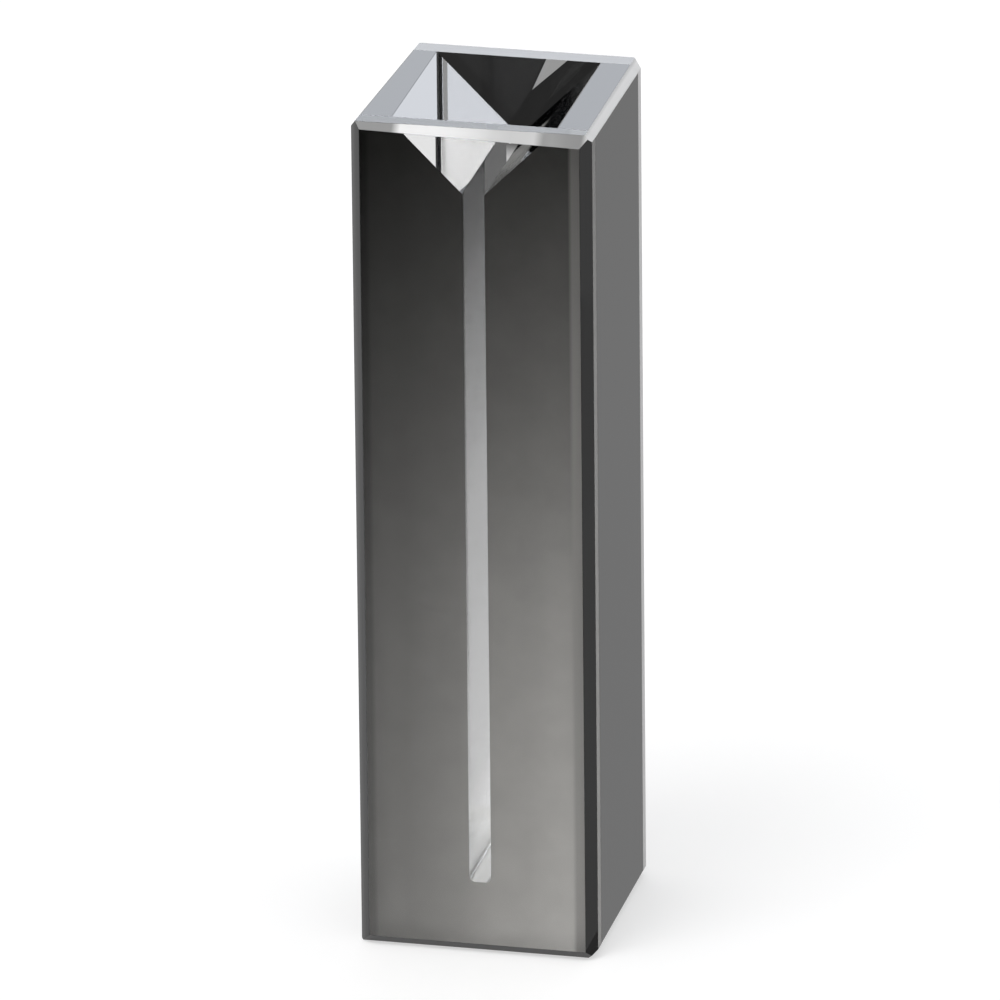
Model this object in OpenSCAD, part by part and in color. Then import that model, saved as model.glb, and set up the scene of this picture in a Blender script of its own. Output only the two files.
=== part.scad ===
// Black-walled micro cuvette: a black quartz spacer with a funnel mouth and a
// narrow sample channel, closed front and back by a fused clear window.
// Millimetres, +Z up, origin at the middle of the base. The front window
// faces -Y, and light for a measurement crosses the part along Y.

/* [Body] */
// Width of the body from side to side, along X
body_w = 12.5; // [10:0.5:20]
// Height of the body
body_h = 45; // [30:1:60]
// Depth of the black spacer between the windows, which is the light path
path_d = 10; // [5:0.5:20]
// Thickness of each clear window
window_t = 1.25; // [0.9:0.05:2]

/* [Sample channel] */
// Width of the channel
slot_w = 1.15; // [0.7:0.05:3]
// Thickness of the solid foot below the channel
foot_h = 3.6; // [2:0.1:8]
// Radius of the two corners at the bottom of the channel
slot_corner_r = 0.32; // [0.1:0.02:0.34]

/* [Funnel mouth] */
// Width of the flat rim on each side of the mouth, out to the side of the body
rim_w = 1.95; // [1.2:0.05:3]
// Angle of the funnel's slopes below the rim
funnel_angle = 45; // [30:1:60]

/* [Edges] */
// Chamfer of the four upright edges
upright_chamfer = 0.55; // [0.2:0.05:0.8]
// Chamfer of the front, right and back edges of the base
base_chamfer = 0.5; // [0.2:0.05:0.8]
// Chamfer of the left edge of the base
left_base_chamfer = 0.1; // [0.05:0.05:0.8]
// Width that the left top chamfer takes off the rim at its front end
left_top_chamfer_front = 0.25; // [0.1:0.05:1]
// Width that the left top chamfer takes off the rim at its back end
left_top_chamfer_back = 0.8; // [0.1:0.05:1]
// Slope of the left top chamfer
left_top_slope = 54; // [40:1:60]
// Chamfer of the right top edge at its front end
right_top_chamfer_front = 0.35; // [0.1:0.05:1]
// Chamfer of the right top edge at its back end
right_top_chamfer_back = 0.4; // [0.1:0.05:1]
// Chamfer of the back top edge
back_top_chamfer = 0.1; // [0.05:0.05:1]
// Width that the front top chamfer takes off the rim at its left end
front_top_chamfer_left = 0.27; // [0.1:0.01:1]
// Width that the front top chamfer takes off the rim at its right end
front_top_chamfer_right = 0.5; // [0.1:0.01:1]
// Slope of the front top chamfer
front_top_slope = 50; // [40:1:60]

/* [Hidden] */
$fn = 32;
// How far a cut runs past the faces that it opens
cut = 1;
body_d = path_d + 2 * window_t;
mouth_w = body_w - 2 * rim_w;
funnel_h = (mouth_w - slot_w) / 2 * tan(funnel_angle);

// Outline of the body between two upright faces that stand a width apart,
// with a corner of its own size cut off at each end of the base. Its base lies
// on the X axis.
module side_outline(width, left_leg, right_leg) {
    half = width / 2;
    polygon([
        [-half + left_leg, 0],
        [half - right_leg, 0],
        [half, right_leg],
        [half, body_h],
        [-half, body_h],
        [-half, left_leg]
    ]);
}

// Outline of the body from above, with its four corners cut off
module plan_outline() {
    half_w = body_w / 2;
    half_d = body_d / 2;
    corner = upright_chamfer;
    polygon([
        [-half_w + corner, -half_d],
        [half_w - corner, -half_d],
        [half_w, -half_d + corner],
        [half_w, half_d - corner],
        [half_w - corner, half_d],
        [-half_w + corner, half_d],
        [-half_w, half_d - corner],
        [-half_w, -half_d + corner]
    ]);
}

// Block that cuts a top chamfer along the front edge of a body of this width
// and depth. The flat starts on the top face at one distance from the edge at
// the left end and another at the right end, and falls to the front.
module top_cut(width, depth, left_leg, right_leg, slope = 45) {
    reach = width + depth;
    translate([0, (left_leg + right_leg) / 2 - depth / 2, body_h])
        rotate([0, 0, atan((right_leg - left_leg) / width)])
            rotate([slope, 0, 0])
                translate([-reach / 2, -reach / 2, 0])
                    cube(reach);
}

// The four top chamfers, which are ground by hand and so differ in width
module top_cuts() {
    top_cut(body_w, body_d, front_top_chamfer_left, front_top_chamfer_right, front_top_slope);
    rotate([0, 0, 90])
        top_cut(body_d, body_w, right_top_chamfer_front, right_top_chamfer_back);
    rotate([0, 0, 180])
        top_cut(body_w, body_d, back_top_chamfer, back_top_chamfer);
    rotate([0, 0, -90])
        top_cut(body_d, body_w, left_top_chamfer_back, left_top_chamfer_front, left_top_slope);
}

// Solid outside shape of the fused and polished body
module blank() {
    difference() {
        intersection() {
            linear_extrude(height = body_h) plan_outline();
            rotate([90, 0, 0])
                linear_extrude(height = body_d, center = true)
                    side_outline(body_w, left_base_chamfer, base_chamfer);
            rotate([90, 0, 90])
                linear_extrude(height = body_w, center = true)
                    side_outline(body_d, base_chamfer, base_chamfer);
        }
        top_cuts();
    }
}

// The part of the blank between two planes across Y
module slice(from_y, to_y) {
    intersection() {
        blank();
        translate([-body_w, from_y, -cut])
            cube([2 * body_w, to_y - from_y, body_h + 2 * cut]);
    }
}

// Outline of the channel: straight sides, a flat floor and two round corners
module slot_outline() {
    corner_x = slot_w / 2 - slot_corner_r;
    translate([-slot_w / 2, foot_h + slot_corner_r])
        square([slot_w, body_h - foot_h]);
    translate([-corner_x, foot_h])
        square([2 * corner_x, 2 * slot_corner_r]);
    for (side = [-1, 1])
        translate([side * corner_x, foot_h + slot_corner_r])
            circle(r = slot_corner_r);
}

// Outline of the funnel, from the channel up through the rim
module funnel_outline() {
    spread = cut / tan(funnel_angle);
    polygon([
        [-slot_w / 2, body_h - funnel_h],
        [slot_w / 2, body_h - funnel_h],
        [mouth_w / 2 + spread, body_h + cut],
        [-mouth_w / 2 - spread, body_h + cut]
    ]);
}

// Black quartz block, cut right through from front to back
module spacer() {
    color("#16181a")
        difference() {
            slice(-path_d / 2, path_d / 2);
            rotate([90, 0, 0])
                linear_extrude(height = path_d + 2 * cut, center = true)
                    union() {
                        slot_outline();
                        funnel_outline();
                    }
        }
}

// Clear plate fused on the front of the block
module front_window() {
    color("#dfe6ea", 0.4)
        slice(-body_d / 2, -path_d / 2);
}

// Clear plate fused on the back of the block
module back_window() {
    color("#dfe6ea", 0.4)
        slice(path_d / 2, body_d / 2);
}

spacer();
front_window();
back_window();
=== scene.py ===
import math

import bmesh
import bpy
from bpy.props import FloatProperty, FloatVectorProperty, PointerProperty
from mathutils import Matrix, Vector


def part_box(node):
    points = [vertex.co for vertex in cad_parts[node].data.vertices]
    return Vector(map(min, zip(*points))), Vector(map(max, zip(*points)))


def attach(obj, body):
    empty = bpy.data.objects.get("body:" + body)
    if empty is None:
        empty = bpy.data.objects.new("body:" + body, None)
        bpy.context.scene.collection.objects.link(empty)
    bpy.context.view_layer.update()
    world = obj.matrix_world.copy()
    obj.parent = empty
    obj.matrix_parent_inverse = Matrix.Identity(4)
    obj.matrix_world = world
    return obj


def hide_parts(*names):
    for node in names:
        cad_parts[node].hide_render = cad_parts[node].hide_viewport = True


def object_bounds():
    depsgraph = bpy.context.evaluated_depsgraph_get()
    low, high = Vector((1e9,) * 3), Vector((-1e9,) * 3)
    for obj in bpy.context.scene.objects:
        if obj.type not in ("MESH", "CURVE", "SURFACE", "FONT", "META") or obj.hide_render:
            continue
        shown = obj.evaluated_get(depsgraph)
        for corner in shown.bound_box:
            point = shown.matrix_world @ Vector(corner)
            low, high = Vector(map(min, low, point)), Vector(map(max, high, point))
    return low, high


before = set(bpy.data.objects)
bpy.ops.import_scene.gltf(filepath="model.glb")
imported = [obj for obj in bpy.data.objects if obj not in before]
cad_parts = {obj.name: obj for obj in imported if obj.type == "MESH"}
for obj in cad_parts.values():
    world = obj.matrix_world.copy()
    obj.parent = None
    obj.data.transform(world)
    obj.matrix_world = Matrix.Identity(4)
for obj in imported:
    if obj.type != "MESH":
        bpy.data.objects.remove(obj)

bl_info = {
    "name": "Black-walled micro cuvette",
    "version": (1, 0, 0),
    "blender": (4, 5, 0),
    "location": "View3D > Sidebar > Cuvette",
    "description": "Dresses the packed cuvette with polished, ground and clear quartz and sets up its stage",
    "category": "Add Mesh",
}

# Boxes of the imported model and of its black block, and half of the model's width and depth
CAD_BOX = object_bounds()
BODY_LOW, BODY_HIGH = CAD_BOX
BLOCK_LOW, BLOCK_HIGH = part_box("spacer")
HALF_WIDTH = (BODY_HIGH.x - BODY_LOW.x) / 2
HALF_DEPTH = (BODY_HIGH.y - BODY_LOW.y) / 2
HEIGHT = BODY_HIGH.z

# Two places closer than this are the same place
NEAR = 1e-6
# A face whose normal reaches this along an axis looks along that axis
SQUARE_ON = 0.9
# Leg of the upright chamfers
UPRIGHT_CHAMFER = 0.00055
# Slope of the right and back top chamfers
TOP_SLOPE = math.radians(45)


# ---------------------------------------------------------------- sizes and colours


def length(name, description, default):
    """A length that the user can change"""
    return FloatProperty(name=name, description=description, default=default, unit="LENGTH")


def angle(name, description, degrees):
    """An angle that the user can change"""
    return FloatProperty(name=name, description=description, default=math.radians(degrees), subtype="ANGLE")


def colour(name, description, default):
    """A colour that the user can change"""
    return FloatVectorProperty(name=name, description=description, subtype="COLOR", size=3, default=default)


def amount(name, description, default):
    """A plain number that the user can change"""
    return FloatProperty(name=name, description=description, default=default)


class CellSizes(bpy.types.PropertyGroup):
    """Sizes of the funnel mouth and the sample channel"""

    channel_width: length("Channel width", "Width of the sample channel", 0.00115)
    foot: length("Foot", "Solid height below the channel", 0.0036)
    channel_radius: length(
        "Channel corner radius", "Radius of the two corners at the bottom of the channel", 0.00032
    )
    rim_width: length("Rim width", "Width of the flat rim on each side of the mouth", 0.00195)
    funnel_angle: angle("Funnel angle", "Angle of the funnel's slopes below the rim", 45)


class EdgeSizes(bpy.types.PropertyGroup):
    """Chamfers of the fused body, and the fine rounding that polishing leaves"""

    upright: length("Upright chamfer", "Leg of the upright chamfers", UPRIGHT_CHAMFER)
    base: length("Base chamfer", "Leg of the front, right and back chamfers of the base", 0.0005)
    base_left: length("Left base chamfer", "Leg of the left chamfer of the base", 0.0001)
    left_front: length(
        "Left top chamfer, front end", "Width that it takes off the rim at its front end", 0.00025
    )
    left_back: length(
        "Left top chamfer, back end", "Width that it takes off the rim at its back end", 0.0008
    )
    left_slope: angle("Left top chamfer, slope", "Slope of the left top chamfer", 54)
    right_front: length(
        "Right top chamfer, front end", "Width that it takes off the rim at its front end", 0.00035
    )
    right_back: length(
        "Right top chamfer, back end", "Width that it takes off the rim at its back end", 0.0004
    )
    back: length("Back top chamfer", "Leg of the back top chamfer", 0.0001)
    front_left: length(
        "Front top chamfer, left end", "Width that it takes off the rim at its left end", 0.00027
    )
    front_right: length(
        "Front top chamfer, right end", "Width that it takes off the rim at its right end", 0.0005
    )
    front_slope: angle("Front top chamfer, slope", "Slope of the front top chamfer", 50)
    rounding: length("Edge rounding", "Width of the fine rounding on every edge in the air", 0.00003)
    seam: length("Seam depth", "How far a window runs into the block that it is fused to", 0.00002)


class Finishes(bpy.types.PropertyGroup):
    """Colours of the quartz and of the light painted on it, and how strongly it bends light"""

    black: colour("Black quartz", "Colour of the polished black quartz", (0.006, 0.0065, 0.007))
    ground: colour("Ground quartz", "Colour of the ground left top chamfer", (0.285, 0.285, 0.285))
    # Colour of the painted light low down on the right slope
    slope_painted_light: colour("Slope haze", "Colour of the grinding haze on the right slope", (0.62, 0.62, 0.6))
    # Tint of the front seam, its joint haze and the light painted on it
    seam_tint: colour("Seam haze", "Tint of the joint haze behind the front window", (1.02, 1.0, 0.96))
    channel_floor: colour("Channel floor", "Colour of the ground floor of the channel", (1.0, 0.985, 0.94))
    index: amount("Refractive index", "Refractive index of fused quartz", 1.46)


class StageSettings(bpy.types.PropertyGroup):
    """Camera, lamps and floor"""

    azimuth: angle("Azimuth", "Camera's angle round the part", 13.163)
    elevation: angle("Elevation", "Camera's angle above the floor", 21.333)
    roll: angle("Roll", "Camera's turn about its own axis", -0.577)
    distance: length("Distance", "Camera's distance from the aim point", 0.8029)
    lens: amount("Lens", "Focal length in millimetres", 563.5)
    aim: FloatVectorProperty(
        name="Aim",
        description="Point that the camera looks at",
        subtype="XYZ",
        size=3,
        default=(-0.000033, 0.0, 0.022624),
    )
    ambient: amount("Room light", "Strength of the even light from all round", 0.65)
    floor_size: length("Floor size", "Length of the square floor's side", 6.0)
    floor_paint: amount("Floor paint", "Grey level of the floor, which takes the shadow", 0.62)
    floor_glow: amount("Floor glow", "Glow that brings the floor up to white where it is seen", 0.5)
    lamp_distance: length("Lamp distance", "Distance of each soft box from the middle of the part", 0.6)


# ---------------------------------------------------------------- meshes


def cut_off(bm, point, normal, material):
    """Cuts off what lies beyond a plane and closes the cut with one flat face"""
    cut = bmesh.ops.bisect_plane(
        bm,
        geom=bm.verts[:] + bm.edges[:] + bm.faces[:],
        dist=1e-8,
        plane_co=point,
        plane_no=Vector(normal).normalized(),
        clear_outer=True,
    )
    rim = [e for e in cut["geom_cut"] if isinstance(e, bmesh.types.BMEdge)]
    if not rim:
        raise RuntimeError("a chamfer misses the body")
    lid = bmesh.ops.contextual_create(bm, geom=rim)["faces"]
    for face in lid:
        face.material_index = material


def cut_top(bm, turn, start, end, slope, material):
    """Cuts a top chamfer. At turn 0 it runs along the front edge, and takes one width off the rim at
    its left end and another at its right end. Other turns carry it round to another side."""
    on_a_side = abs(math.sin(turn)) > 0.5
    half_length, half_depth = (HALF_DEPTH, HALF_WIDTH) if on_a_side else (HALF_WIDTH, HALF_DEPTH)
    slant = math.atan2(end - start, 2 * half_length)
    point = Matrix.Rotation(turn, 3, "Z") @ Vector((0, (start + end) / 2 - half_depth, HEIGHT))
    lean = Matrix.Rotation(turn + slant, 3, "Z") @ Matrix.Rotation(slope, 3, "X")
    cut_off(bm, point, lean.col[2], material)


def cut_left_top(bm, edges, material):
    """Cuts the left top chamfer, which is wider at the back"""
    cut_top(bm, math.radians(-90), edges.left_back, edges.left_front, edges.left_slope, material)


def cut_right_top(bm, edges, material):
    """Cuts the right top chamfer"""
    cut_top(bm, math.radians(90), edges.right_front, edges.right_back, TOP_SLOPE, material)


def round_edges(bm, edges, width, segments=2):
    """Rounds edges with a narrow bevel that keeps its neighbours' material"""
    bmesh.ops.bevel(
        bm,
        geom=edges,
        offset=width,
        offset_type="OFFSET",
        affect="EDGES",
        segments=segments,
        profile=0.5,
        material=-1,
        clamp_overlap=True,
    )


def add_object(name, bm, materials):
    """Makes an object at the origin of a finished mesh"""
    mesh = bpy.data.meshes.new(name)
    bm.to_mesh(mesh)
    bm.free()
    for material in materials:
        mesh.materials.append(material)
    thing = bpy.data.objects.new(name, mesh)
    bpy.context.scene.collection.objects.link(thing)
    return thing


def add_piece(name, bm, materials, node):
    """Makes a piece of a finished mesh, and lets it stand for a CAD node"""
    bmesh.ops.recalc_face_normals(bm, faces=bm.faces[:])
    piece = add_object(name, bm, materials)
    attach(piece, "root")
    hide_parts(node)


def block_outline(cell, edges):
    """Outline of the block seen from the front, from the base round to the left side"""
    top = HEIGHT
    mouth = HALF_WIDTH - cell.rim_width
    channel = cell.channel_width / 2
    throat = top - (mouth - channel) * math.tan(cell.funnel_angle)
    return [
        (-HALF_WIDTH + edges.base_left, 0),
        (HALF_WIDTH - edges.base, 0),
        (HALF_WIDTH, edges.base),
        (HALF_WIDTH, top),
        (mouth, top),
        (channel, throat),
        (channel, cell.foot),
        (-channel, cell.foot),
        (-channel, throat),
        (-mouth, top),
        (-HALF_WIDTH, top),
        (-HALF_WIDTH, edges.base_left),
    ]


# Material slots of the block
POLISHED, FRONT_SEAM, BACK_SEAM, CHANNEL, CHANNEL_FLOOR, GROUND, PALE_EDGE = range(7)
# Share of the bottom corners' radius up to which they are finished as the floor is
FLOOR_SHARE = 0.4


def build_block(cell, edges):
    """Mesh of the black block, with the funnel and the channel cut through it"""
    bm = bmesh.new()
    outline = [bm.verts.new((x, BLOCK_LOW.y, z)) for x, z in block_outline(cell, edges)]
    front = bm.faces.new(outline)
    swept = bmesh.ops.extrude_face_region(bm, geom=[front], use_keep_orig=True)["geom"]
    far_side = [v for v in swept if isinstance(v, bmesh.types.BMVert)]
    bmesh.ops.translate(bm, verts=far_side, vec=(0, BLOCK_HIGH.y - BLOCK_LOW.y, 0))
    bmesh.ops.recalc_face_normals(bm, faces=bm.faces[:])
    cut_left_top(bm, edges, GROUND)
    # The block's right top chamfer takes the frosted edge's grey, which stands as a painted reflection
    cut_right_top(bm, edges, PALE_EDGE)

    channel = cell.channel_width / 2
    front_to_back = [e for e in bm.edges if abs(e.verts[0].co.y - e.verts[1].co.y) > HALF_DEPTH]

    def at_channel_floor(edge):
        spot = edge.verts[0].co
        return abs(abs(spot.x) - channel) < NEAR and abs(spot.z - cell.foot) < NEAR

    corners = [e for e in front_to_back if at_channel_floor(e)]
    others = [e for e in front_to_back if not at_channel_floor(e)]
    round_edges(bm, corners, cell.channel_radius, segments=8)
    round_edges(bm, [e for e in others if e.is_valid], edges.rounding)

    bmesh.ops.recalc_face_normals(bm, faces=bm.faces[:])
    floor_top = cell.foot + FLOOR_SHARE * cell.channel_radius
    mouth = HALF_WIDTH - cell.rim_width
    for face in bm.faces:
        middle = face.calc_center_median()
        leans = 1 - SQUARE_ON < face.normal.z < SQUARE_ON
        if abs(face.normal.y) > SQUARE_ON:
            face.material_index = BACK_SEAM if middle.y > 0 else FRONT_SEAM
        elif abs(middle.x) < channel + NEAR:
            # The underside's middle lies below the channel, so it gets the finish of the channel's floor
            face.material_index = CHANNEL_FLOOR if middle.z < floor_top else CHANNEL
        elif leans and middle.x < -mouth:
            face.material_index = GROUND
        elif leans and middle.x > mouth:
            face.material_index = PALE_EDGE
        else:
            face.material_index = POLISHED
    return bm


# Material slots of a window
CLEAR, DARK_EDGE, FROSTED_EDGE, PALE_SIDE, PAINTED_LIGHT_RIM = range(5)


def build_blank(edges):
    """Mesh of the fused body's outside, with every chamfer, before it is sliced"""
    bm = bmesh.new()
    bmesh.ops.create_cube(bm, size=1.0)
    bmesh.ops.scale(bm, vec=(2 * HALF_WIDTH, 2 * HALF_DEPTH, HEIGHT), verts=bm.verts)
    bmesh.ops.translate(bm, vec=(0, 0, HEIGHT / 2), verts=bm.verts)
    for side, base in ((-1, edges.base_left), (1, edges.base)):
        for face in (-1, 1):
            corner = Vector((side * (HALF_WIDTH - edges.upright), face * HALF_DEPTH, 0))
            cut_off(bm, corner, (side, face, 0), DARK_EDGE)
        cut_off(bm, (side * (HALF_WIDTH - base), 0, 0), (side, 0, -1), DARK_EDGE)
    for face in (-1, 1):
        cut_off(bm, (0, face * (HALF_DEPTH - edges.base), 0), (0, face, -1), DARK_EDGE)
    cut_left_top(bm, edges, FROSTED_EDGE)
    cut_right_top(bm, edges, FROSTED_EDGE)
    cut_top(bm, math.pi, edges.back, edges.back, TOP_SLOPE, FROSTED_EDGE)
    cut_top(bm, 0, edges.front_left, edges.front_right, edges.front_slope, FROSTED_EDGE)
    return bm


def build_window(edges, side):
    """Mesh of one window: the slice of the blank on that side of the block, a hair into the seam"""
    bm = build_blank(edges)
    reach = BLOCK_HIGH.y - edges.seam
    cut_off(bm, (0, side * reach, 0), (0, -side, 0), CLEAR)
    bmesh.ops.recalc_face_normals(bm, faces=bm.faces[:])
    in_air = [e for e in bm.edges if all(abs(v.co.y) > reach + NEAR for v in e.verts)]
    round_edges(bm, in_air, edges.rounding)
    if side > 0:
        for face in bm.faces:
            if abs(face.normal.x) > SQUARE_ON:
                face.material_index = PALE_SIDE
            elif face.normal.z > SQUARE_ON:
                face.material_index = PAINTED_LIGHT_RIM
    return bm


# ---------------------------------------------------------------- materials

# Fineness of each pattern, in features for each metre
MELT_GRAIN = 400.0
SEAM_GRAIN = 700.0
POLISH_GRAIN = 900.0
EDGE_GRAIN = 1500.0
WALL_GRAIN = 1800.0
FLOOR_GRAIN = 2200.0
GROUND_GRAIN = 2600.0

# Stretches of the piece that a ramp runs along
WHOLE_HEIGHT = (0.0, HEIGHT)
WHOLE_WIDTH = (-HALF_WIDTH, HALF_WIDTH)
# The stretch in front of the back plate over which the ground left top chamfer turns paler
PALER_DEPTH = (BLOCK_HIGH.y - 0.001, BLOCK_HIGH.y)
# The box that holds the painted light on the funnel's right slope
SLOPE_PAINTED_LIGHT_WIDTH = (0.0, 0.005)
SLOPE_PAINTED_LIGHT_DEPTH = (-0.004, 0.002)
SLOPE_PAINTED_LIGHT_HEIGHT = (HEIGHT - 0.004, HEIGHT - 0.001)
# Where the joint haze and painted light of the front window give way to the even strip of painted light
# along its right edge
EVEN_STRIP_START = (0.0049, 0.0051)
# Width of the left upright chamfer, from the outside in
LEFT_CHAMFER_WIDTH = (-HALF_WIDTH, UPRIGHT_CHAMFER - HALF_WIDTH)


def new_material(name):
    """A node material, with its node tree and its shader"""
    material = bpy.data.materials.new(name)
    material.use_nodes = True
    tree = material.node_tree
    return material, tree, tree.nodes["Principled BSDF"]


def object_coordinates(tree):
    """The piece's own coordinates, in metres"""
    return tree.nodes.new("ShaderNodeTexCoord").outputs["Object"]


def noise(tree, place, fineness):
    """A noise pattern in the piece's own coordinates, in features for each metre"""
    pattern = tree.nodes.new("ShaderNodeTexNoise")
    pattern.inputs["Scale"].default_value = fineness
    pattern.inputs["Detail"].default_value = 3.0
    tree.links.new(place, pattern.inputs["Vector"])
    return pattern.outputs["Fac"]


def spread(tree, value, low, high, start=0.0, end=1.0):
    """Maps a value that runs from start to end to the range from low to high"""
    node = tree.nodes.new("ShaderNodeMapRange")
    node.inputs["From Min"].default_value = start
    node.inputs["From Max"].default_value = end
    node.inputs["To Min"].default_value = low
    node.inputs["To Max"].default_value = high
    tree.links.new(value, node.inputs["Value"])
    return node.outputs["Result"]


def feed(tree, socket, value):
    """Gives a socket a fixed value, or links another node's output to it"""
    if isinstance(value, bpy.types.NodeSocket):
        tree.links.new(value, socket)
    else:
        socket.default_value = value


def math_node(tree, operation, first, second):
    """Combines two values"""
    node = tree.nodes.new("ShaderNodeMath")
    node.operation = operation
    feed(tree, node.inputs[0], first)
    feed(tree, node.inputs[1], second)
    return node.outputs["Value"]


def ramp_along(tree, place, axis, stretch, stops):
    """A grey ramp along a stretch of one axis of the piece. Each stop is a share of the stretch and a
    grey level."""
    axes = tree.nodes.new("ShaderNodeSeparateXYZ")
    tree.links.new(place, axes.inputs["Vector"])
    node = tree.nodes.new("ShaderNodeValToRGB")
    elements = node.color_ramp.elements
    while len(elements) < len(stops):
        elements.new(0.5)
    while len(elements) > len(stops):
        elements.remove(elements[-1])
    for element, (share, level) in zip(elements, stops):
        element.position = share
        element.color = (level, level, level, 1)
    tree.links.new(spread(tree, axes.outputs[axis], 0.0, 1.0, *stretch), node.inputs["Fac"])
    return node.outputs["Color"]


def mix_by(tree, share, first, second):
    """Mixes two colours by a share of 0 to 1"""
    node = tree.nodes.new("ShaderNodeMix")
    node.data_type = "RGBA"
    # Sockets 6 and 7 are the two colours, and output 2 is their mix
    feed(tree, node.inputs[0], share)
    feed(tree, node.inputs[6], first)
    feed(tree, node.inputs[7], second)
    return node.outputs[2]


def scaled(tree, tone, factor):
    """A colour times a value"""
    node = tree.nodes.new("ShaderNodeVectorMath")
    node.operation = "SCALE"
    feed(tree, node.inputs[0], tone)
    tree.links.new(factor, node.inputs["Scale"])
    return node.outputs["Vector"]


def polished_black(finish):
    """Polished black quartz. Low down on the right slope, beside the front window, a pale patch of painted
    light is mixed in.
    """
    material, tree, shader = new_material("polished_black_quartz")
    place = object_coordinates(tree)
    haze = noise(tree, place, POLISH_GRAIN)
    width_stops = [(0.1, 0.0), (0.12, 1.0), (0.8, 1.0), (0.9, 0.0)]
    depth_stops = [(0.0, 0.8), (0.3, 0.8), (0.5, 1.0), (0.82, 1.0), (0.93, 0.0)]
    height_stops = [(0.0, 0.0), (0.05, 1.0), (0.63, 1.0), (0.76, 0.0)]
    right = ramp_along(tree, place, "X", SLOPE_PAINTED_LIGHT_WIDTH, width_stops)
    front = ramp_along(tree, place, "Y", SLOPE_PAINTED_LIGHT_DEPTH, depth_stops)
    low = ramp_along(tree, place, "Z", SLOPE_PAINTED_LIGHT_HEIGHT, height_stops)
    share = math_node(tree, "MULTIPLY", right, math_node(tree, "MULTIPLY", front, low))
    # Painted light: the pale patch on the right slope
    painted_light_patch = scaled(tree, finish.slope_painted_light, spread(tree, haze, 0.9, 1.1))
    tree.links.new(mix_by(tree, share, (*finish.black, 1), painted_light_patch), shader.inputs["Base Color"])
    shader.inputs["IOR"].default_value = finish.index
    tree.links.new(spread(tree, haze, 0.004, 0.018), shader.inputs["Roughness"])
    return material


def ground_black(finish):
    """Finely ground left top chamfer of the block, which turns paler close to the back plate"""
    material, tree, shader = new_material("ground_black_quartz")
    place = object_coordinates(tree)
    grain = noise(tree, place, GROUND_GRAIN)
    paler = ramp_along(tree, place, "Y", PALER_DEPTH, [(0.0, 0.3), (1.0, 0.9)])
    tone = math_node(tree, "MULTIPLY", spread(tree, grain, 0.9, 1.1), paler)
    tree.links.new(scaled(tree, finish.ground, tone), shader.inputs["Base Color"])
    shader.inputs["IOR"].default_value = finish.index
    tree.links.new(spread(tree, grain, 0.42, 0.5), shader.inputs["Roughness"])
    return material


def back_seam():
    """Black quartz under the back window: no gloss, and a joint haze with painted light on it that clears
    towards the mouth
    """
    material, tree, shader = new_material("back_seam")
    place = object_coordinates(tree)
    # Painted light: the seam is brighter towards the foot
    level = ramp_along(tree, place, "Z", WHOLE_HEIGHT, [(0.0, 0.3), (0.6, 0.22), (0.85, 0.04), (0.9, 0.0)])
    mottle = spread(tree, noise(tree, place, SEAM_GRAIN), 0.85, 1.15)
    tree.links.new(scaled(tree, level, mottle), shader.inputs["Base Color"])
    shader.inputs["Specular IOR Level"].default_value = 0.0
    shader.inputs["Roughness"].default_value = 1.0
    return material


def front_seam(finish):
    """Black quartz under the front window: no gloss, and a joint haze with painted light on it that clears
    towards the mouth and the left, with a painted dark line along the left edge and a narrow even strip of
    painted light along the right edge"""
    material, tree, shader = new_material("front_seam")
    place = object_coordinates(tree)
    # Painted light: the joint is brighter towards the foot
    height_stops = [
        (0.0, 0.76), (0.035, 0.63), (0.07, 0.57), (0.1, 0.56), (0.22, 0.52),
        (0.42, 0.42), (0.55, 0.3), (0.7, 0.19), (0.85, 0.11), (0.96, 0.065),
    ]
    # Painted light: brighter towards the right, with a painted dark line along the left edge
    width_stops = [
        (0.0, 0.34), (0.05, 0.34), (0.07, 0.48), (0.2, 0.46),
        (0.42, 0.64), (0.58, 0.84), (0.7, 0.9), (0.88, 1.1),
    ]
    level = ramp_along(tree, place, "Z", WHOLE_HEIGHT, height_stops)
    across = ramp_along(tree, place, "X", WHOLE_WIDTH, width_stops)
    mottle = spread(tree, noise(tree, place, SEAM_GRAIN), 0.9, 1.1)
    haze = scaled(tree, level, math_node(tree, "MULTIPLY", across, mottle))
    # Painted light: the even strip along the right edge
    strip = ramp_along(tree, place, "X", EVEN_STRIP_START, [(0.0, 0.0), (1.0, 1.0)])
    even_stops = [(0.1, 0.45), (0.5, 0.42), (0.75, 0.36), (0.96, 0.25)]
    even = ramp_along(tree, place, "Z", WHOLE_HEIGHT, even_stops)
    tone = mix_by(tree, strip, haze, even)
    tree.links.new(scaled(tree, finish.seam_tint, tone), shader.inputs["Base Color"])
    shader.inputs["Specular IOR Level"].default_value = 0.0
    shader.inputs["Roughness"].default_value = 1.0
    return material


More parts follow.
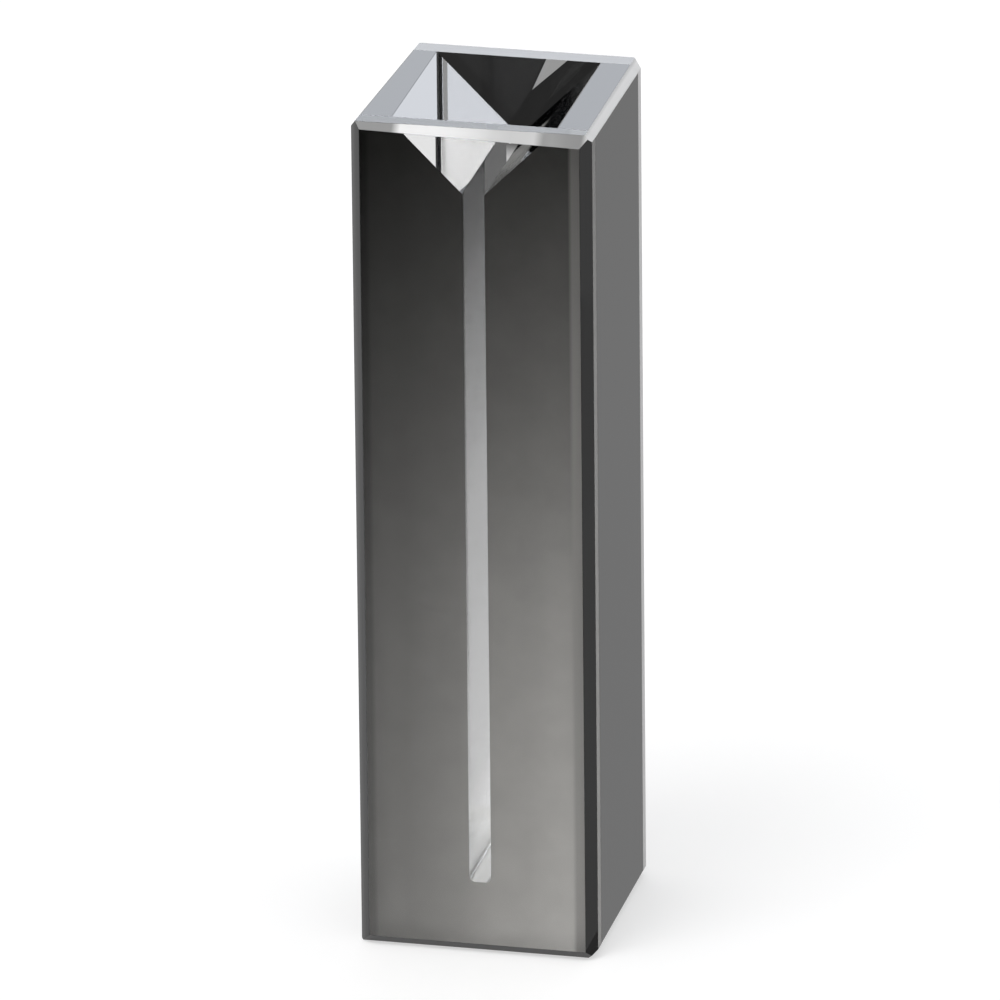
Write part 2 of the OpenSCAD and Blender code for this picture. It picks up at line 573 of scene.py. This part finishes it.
def channel_wall():
    """Walls of the sample channel: ground at the foot and polished black at the throat, with painted light
    that is pale at the foot and fades towards the throat
    """
    material, tree, shader = new_material("channel_wall")
    place = object_coordinates(tree)
    # Painted light: pale at the foot and darker up to the throat
    tone_stops = [
        (0.085, 1.0), (0.11, 0.9), (0.16, 0.68), (0.2, 0.61), (0.33, 0.56), (0.43, 0.5),
        (0.53, 0.47), (0.63, 0.345), (0.73, 0.24), (0.8, 0.14), (0.86, 0.03),
    ]
    level = ramp_along(tree, place, "Z", WHOLE_HEIGHT, tone_stops)
    mottle = spread(tree, noise(tree, place, WALL_GRAIN), 0.94, 1.06)
    tree.links.new(scaled(tree, level, mottle), shader.inputs["Base Color"])
    shader.inputs["Metallic"].default_value = 1.0
    grinding = ramp_along(tree, place, "Z", WHOLE_HEIGHT, [(0.1, 0.25), (0.2, 0.07), (0.86, 0.02)])
    tree.links.new(grinding, shader.inputs["Roughness"])
    return material


def channel_floor(finish):
    """Ground floor of the sample channel"""
    material, tree, shader = new_material("channel_floor")
    grain = noise(tree, object_coordinates(tree), FLOOR_GRAIN)
    mottle = spread(tree, grain, 0.95, 1.0)
    tree.links.new(scaled(tree, finish.channel_floor, mottle), shader.inputs["Base Color"])
    shader.inputs["Metallic"].default_value = 1.0
    tree.links.new(spread(tree, grain, 0.5, 0.55), shader.inputs["Roughness"])
    return material


def clear_quartz(finish):
    """Clear polished quartz, with a trace of unevenness in the melt"""
    material, tree, shader = new_material("clear_quartz")
    melt = noise(tree, object_coordinates(tree), MELT_GRAIN)
    tree.links.new(spread(tree, melt, 0.99, 1.0), shader.inputs["Base Color"])
    shader.inputs["Roughness"].default_value = 0.0
    shader.inputs["IOR"].default_value = finish.index
    shader.inputs["Transmission Weight"].default_value = 1.0
    return material


def dark_edge(finish):
    """Upright and base chamfers of the windows, which show the dark block behind them. The left upright
    ones carry painted light, greyer outside than in."""
    material, tree, shader = new_material("dark_quartz_edge")
    place = object_coordinates(tree)
    # Painted light: the left upright chamfers are grey outside and dark inside
    level = ramp_along(tree, place, "X", LEFT_CHAMFER_WIDTH, [(0.0, 0.1), (0.6, 0.02), (1.0, 0.002)])
    tree.links.new(level, shader.inputs["Base Color"])
    shader.inputs["IOR"].default_value = finish.index
    grain = noise(tree, place, EDGE_GRAIN)
    tree.links.new(spread(tree, grain, 0.02, 0.08), shader.inputs["Roughness"])
    return material


def pale_side(finish):
    """Ground sides of the back plate, made pale with painted light for the light that runs through the plate
    """
    material, tree, shader = new_material("quartz_side_with_painted_light")
    place = object_coordinates(tree)
    grain = noise(tree, place, EDGE_GRAIN)
    # Painted light: the pale base colour
    tree.links.new(spread(tree, grain, 0.68, 0.74), shader.inputs["Base Color"])
    sheen = ramp_along(tree, place, "Z", WHOLE_HEIGHT, [(0.1, 0.16), (0.5, 0.36)])
    tree.links.new(sheen, shader.inputs["Metallic"])
    shader.inputs["IOR"].default_value = finish.index
    tree.links.new(spread(tree, grain, 0.4, 0.5), shader.inputs["Roughness"])
    return material


def rim_with_painted_light(finish):
    """Top of the back plate, glass with a grey of painted light that makes it paler than the block's rim"""
    material, tree, shader = new_material("back_rim_painted_light_quartz")
    grain = noise(tree, object_coordinates(tree), EDGE_GRAIN)
    # Painted light: the grey base colour of the rim
    tree.links.new(spread(tree, grain, 0.4, 0.46), shader.inputs["Base Color"])
    shader.inputs["IOR"].default_value = finish.index
    shader.inputs["Transmission Weight"].default_value = 0.5
    shader.inputs["Roughness"].default_value = 0.05
    return material


def frosted_edge(finish):
    """Ground top chamfers, whose ground finish is pale, with painted light on it: white over the open mouth
    and grey over the black block
    """
    material, tree, shader = new_material("frosted_quartz_edge")
    place = object_coordinates(tree)
    # Painted light: white where light comes through the mouth, grey over the black block, and paler again at
    # the right edge
    painted_light_stops = [
        (0.176, 0.32), (0.212, 1.0), (0.36, 1.0), (0.43, 0.97), (0.516, 0.88), (0.6, 0.73), (0.668, 0.67),
        (0.765, 0.69), (0.804, 0.34), (0.84, 0.36), (0.9, 0.3), (0.96, 0.28), (0.98, 0.66),
    ]
    level = ramp_along(tree, place, "X", WHOLE_WIDTH, painted_light_stops)
    grain = noise(tree, place, EDGE_GRAIN)
    tree.links.new(scaled(tree, level, spread(tree, grain, 0.97, 1.0)), shader.inputs["Base Color"])
    shader.inputs["IOR"].default_value = finish.index
    tree.links.new(spread(tree, grain, 0.5, 0.6), shader.inputs["Roughness"])
    return material


# ---------------------------------------------------------------- stage

# How far below the part the floor lies
FLOOR_DROP = 0.00001
# Gap between a card and what it lies on or stands close to
CARD_GAP = 0.0001
# The faintly blue light of the two soft boxes behind the part
COOL = (0.92, 0.985, 1.095)
PALE_COOL = (0.95, 0.99, 1.07)
WHITE = (1.0, 1.0, 1.0)
# Depth of the cards that stand behind the part
STANDING_DEPTH = 0.04
# Left and right edges of the brighter ones. The grey one ends where they start.
BRIGHT_LEFT = 0.01275
BRIGHT_RIGHT = 0.0175
# Bottom and top of the narrow strips that the left back corner of the mouth reflects
STRIP_LOW = 0.05264
STRIP_HIGH = 0.05318


def sees_background(tree):
    """1 for rays from the camera, a mirror or glass, which show the plain background, and 0 for the rest"""
    path = tree.nodes.new("ShaderNodeLightPath")
    seen = math_node(tree, "MAXIMUM", path.outputs["Is Camera Ray"], path.outputs["Is Glossy Ray"])
    return math_node(tree, "MAXIMUM", seen, path.outputs["Is Transmission Ray"])


def build_world(settings):
    """White all round for what sees it, and an even room light for the rest"""
    world = bpy.data.worlds.new("room")
    bpy.context.scene.world = world
    world.use_nodes = True
    tree = world.node_tree
    background = tree.nodes["Background"]
    strength = spread(tree, sees_background(tree), settings.ambient, 1.0)
    tree.links.new(strength, background.inputs["Strength"])
    background.inputs["Color"].default_value = (1, 1, 1, 1)


def floor_material(settings):
    """White floor that keeps a soft shadow"""
    material, tree, shader = new_material("white_floor")
    tree.nodes.remove(shader)
    paint = tree.nodes.new("ShaderNodeBsdfDiffuse")
    grey = settings.floor_paint
    paint.inputs["Color"].default_value = (grey, grey, grey, 1)
    glow = tree.nodes.new("ShaderNodeEmission")
    strength = math_node(tree, "MULTIPLY", sees_background(tree), settings.floor_glow)
    tree.links.new(strength, glow.inputs["Strength"])
    both = tree.nodes.new("ShaderNodeAddShader")
    tree.links.new(paint.outputs["BSDF"], both.inputs[0])
    tree.links.new(glow.outputs["Emission"], both.inputs[1])
    tree.links.new(both.outputs["Shader"], tree.nodes["Material Output"].inputs["Surface"])
    return material


def build_floor(settings):
    """The square floor that the part stands on"""
    bm = bmesh.new()
    bmesh.ops.create_grid(bm, x_segments=1, y_segments=1, size=settings.floor_size / 2)
    bmesh.ops.translate(bm, vec=(0, 0, -FLOOR_DROP), verts=bm.verts)
    add_object("floor", bm, [floor_material(settings)])


def add_lamp(name, distance, azimuth, elevation, width, height, radiance, tint):
    """A soft box of a given brightness that faces the middle of the part and isn't seen by the camera.
    Azimuth 0 is straight in front of the part and 90 at its right, in degrees, and so is elevation."""
    data = bpy.data.lights.new(name, "AREA")
    data.shape = "RECTANGLE"
    data.size = width
    data.size_y = height
    data.energy = radiance * math.pi * width * height
    data.color = tint
    lamp = bpy.data.objects.new(name, data)
    bpy.context.scene.collection.objects.link(lamp)
    turn = Matrix.Rotation(math.radians(azimuth), 4, "Z")
    tilt = Matrix.Rotation(math.radians(90 - elevation), 4, "X")
    away = Matrix.Translation((0, 0, distance))
    lamp.matrix_world = Matrix.Translation((0, 0, HEIGHT / 2)) @ turn @ tilt @ away
    lamp.visible_camera = False


def build_lamps(settings):
    """Two soft boxes behind the part, one of them low and bright, and one above it"""
    away = settings.lamp_distance
    add_lamp("back_box", away, azimuth=183, elevation=24, width=0.5, height=0.14, radiance=1.65, tint=COOL)
    add_lamp(
        "low_back_box", away,
        azimuth=159, elevation=11.5, width=0.19, height=0.11, radiance=4.3, tint=PALE_COOL,
    )
    add_lamp("top_box", away, azimuth=-30, elevation=65, width=0.25, height=0.25, radiance=5.0, tint=WHITE)


def card_material(name, stops, stretch, strength):
    """A card that glows with a grey ramp along a stretch from front to back"""
    material, tree, shader = new_material(name)
    tree.nodes.remove(shader)
    glow = tree.nodes.new("ShaderNodeEmission")
    level = ramp_along(tree, object_coordinates(tree), "Y", stretch, stops)
    tree.links.new(level, glow.inputs["Color"])
    glow.inputs["Strength"].default_value = strength
    tree.links.new(glow.outputs["Emission"], tree.nodes["Material Output"].inputs["Surface"])
    return material


def add_card(name, corners, stops, strength=1.0):
    """A flat card between corners, that only mirrors and glass see. Its ramp of grey levels runs from its
    front edge to its back edge."""
    bm = bmesh.new()
    bm.faces.new([bm.verts.new(corner) for corner in corners])
    depths = [corner[1] for corner in corners]
    card = add_object(name, bm, [card_material(name, stops, (min(depths), max(depths)), strength)])
    card.visible_camera = False
    card.visible_diffuse = False
    card.visible_shadow = False


def lying(left, right, front, back):
    """Corners of a card that lies on the floor"""
    return [(x, y, CARD_GAP) for x, y in ((left, front), (right, front), (right, back), (left, back))]


def upright(left, right, depth, low, high):
    """Corners of a card that stands across the depth of the stage"""
    return [(x, depth, z) for x, z in ((left, low), (right, low), (right, high), (left, high))]


def build_cards():
    """Cards that the polished black and the glass reflect: dark, grey and light ones that lie on the
    floor, and small ones that stand behind the part and light the low part of the mouth"""
    white = [(0.0, 1.0)]
    fading = [(0.0, 1.0), (0.015, 0.6), (0.03, 0.02), (0.25, 0.02), (0.3, 0.0), (0.45, 0.0), (0.48, 0.05)]
    brightening = [(0.79, 0.0), (1.0, 1.0)]
    add_card("dark_card_behind", lying(left=-0.16, right=-0.006, front=0.108, back=0.3), fading)
    add_card("grey_card_behind", lying(left=0.0063, right=0.12, front=-0.0065, back=0.3), [(0.0, 0.495)])
    triangle = [(x, y, 2 * CARD_GAP) for x, y in ((-0.0267, 0.129), (-0.0262, 0.1218), (-0.0249, 0.1295))]
    add_card("light_corner", triangle, [(0.0, 0.33)])
    bright = upright(BRIGHT_LEFT, BRIGHT_RIGHT, STANDING_DEPTH, low=0.048, high=0.0575)
    add_card("bright_card_behind", bright, white, strength=6.5)
    grey = upright(0.008, BRIGHT_LEFT, STANDING_DEPTH, STRIP_LOW, STRIP_HIGH)
    add_card("grey_strip_behind", grey, white, strength=2.2)
    pale = upright(BRIGHT_LEFT, BRIGHT_RIGHT, STANDING_DEPTH - CARD_GAP, STRIP_LOW, STRIP_HIGH)
    add_card("pale_strip_behind", pale, white, strength=4.4)
    add_card("dark_card_front", lying(left=-0.2, right=0.1, front=-0.5, back=-0.02), brightening)


def build_camera(settings):
    """The camera, turned about the aim point and drawn back from it"""
    data = bpy.data.cameras.new("camera")
    data.sensor_width = 36.0
    data.lens = settings.lens
    data.clip_start = 0.01
    data.clip_end = 20.0
    camera = bpy.data.objects.new("camera", data)
    bpy.context.scene.collection.objects.link(camera)
    turn = Matrix.Rotation(settings.azimuth, 4, "Z")
    tilt = Matrix.Rotation(math.pi / 2 - settings.elevation, 4, "X")
    roll = Matrix.Rotation(settings.roll, 4, "Z")
    back = Matrix.Translation((0, 0, settings.distance))
    camera.matrix_world = Matrix.Translation(settings.aim) @ turn @ tilt @ roll @ back
    bpy.context.scene.camera = camera


# ---------------------------------------------------------------- operators


class CUVETTE_OT_block(bpy.types.Operator):
    """Builds the black block"""

    bl_idname = "cuvette.block"
    bl_label = "Black block"

    def execute(self, context):
        cell = context.scene.cuvette_cell
        edges = context.scene.cuvette_edges
        finish = context.scene.cuvette_finishes
        materials = [
            polished_black(finish),
            front_seam(finish),
            back_seam(),
            channel_wall(),
            channel_floor(finish),
            ground_black(finish),
            frosted_edge(finish),
        ]
        add_piece("black_block", build_block(cell, edges), materials, "spacer")
        return {"FINISHED"}


class CUVETTE_OT_windows(bpy.types.Operator):
    """Builds the two clear windows"""

    bl_idname = "cuvette.windows"
    bl_label = "Clear windows"

    def execute(self, context):
        edges = context.scene.cuvette_edges
        finish = context.scene.cuvette_finishes
        materials = [kind(finish) for kind in (clear_quartz, dark_edge, frosted_edge, pale_side, rim_with_painted_light)]
        for name, node, side in (("front_plate", "front_window", -1), ("back_plate", "back_window", 1)):
            add_piece(name, build_window(edges, side), materials, node)
        return {"FINISHED"}


class CUVETTE_OT_stage(bpy.types.Operator):
    """Sets up the floor, the lamps, the cards and the camera"""

    bl_idname = "cuvette.stage"
    bl_label = "Stage"

    def execute(self, context):
        settings = context.scene.cuvette_stage
        build_world(settings)
        build_floor(settings)
        build_lamps(settings)
        build_cards()
        build_camera(settings)
        context.scene.view_settings.view_transform = "Standard"
        return {"FINISHED"}


class CUVETTE_PT_panel(bpy.types.Panel):
    """Lists the pieces of the cuvette and its stage"""

    bl_idname = "CUVETTE_PT_panel"
    bl_label = "Cuvette"
    bl_space_type = "VIEW_3D"
    bl_region_type = "UI"
    bl_category = "Cuvette"

    def draw(self, context):
        for operator in OPERATORS:
            self.layout.operator(operator.bl_idname)


OPERATORS = (CUVETTE_OT_block, CUVETTE_OT_windows, CUVETTE_OT_stage)
GROUPS = {
    "cuvette_cell": CellSizes,
    "cuvette_edges": EdgeSizes,
    "cuvette_finishes": Finishes,
    "cuvette_stage": StageSettings,
}


def register():
    """Makes the properties, the operators and the panel known to Blender"""
    for kind in (*GROUPS.values(), *OPERATORS, CUVETTE_PT_panel):
        bpy.utils.register_class(kind)
    for name, kind in GROUPS.items():
        setattr(bpy.types.Scene, name, PointerProperty(type=kind))


def unregister():
    """Takes them out again"""
    for name in GROUPS:
        delattr(bpy.types.Scene, name)
    for kind in reversed((*GROUPS.values(), *OPERATORS, CUVETTE_PT_panel)):
        bpy.utils.unregister_class(kind)


def main():
    """Builds the cuvette and its stage"""
    register()
    bpy.ops.cuvette.block()
    bpy.ops.cuvette.windows()
    bpy.ops.cuvette.stage()


if __name__ == "__main__":
    main()
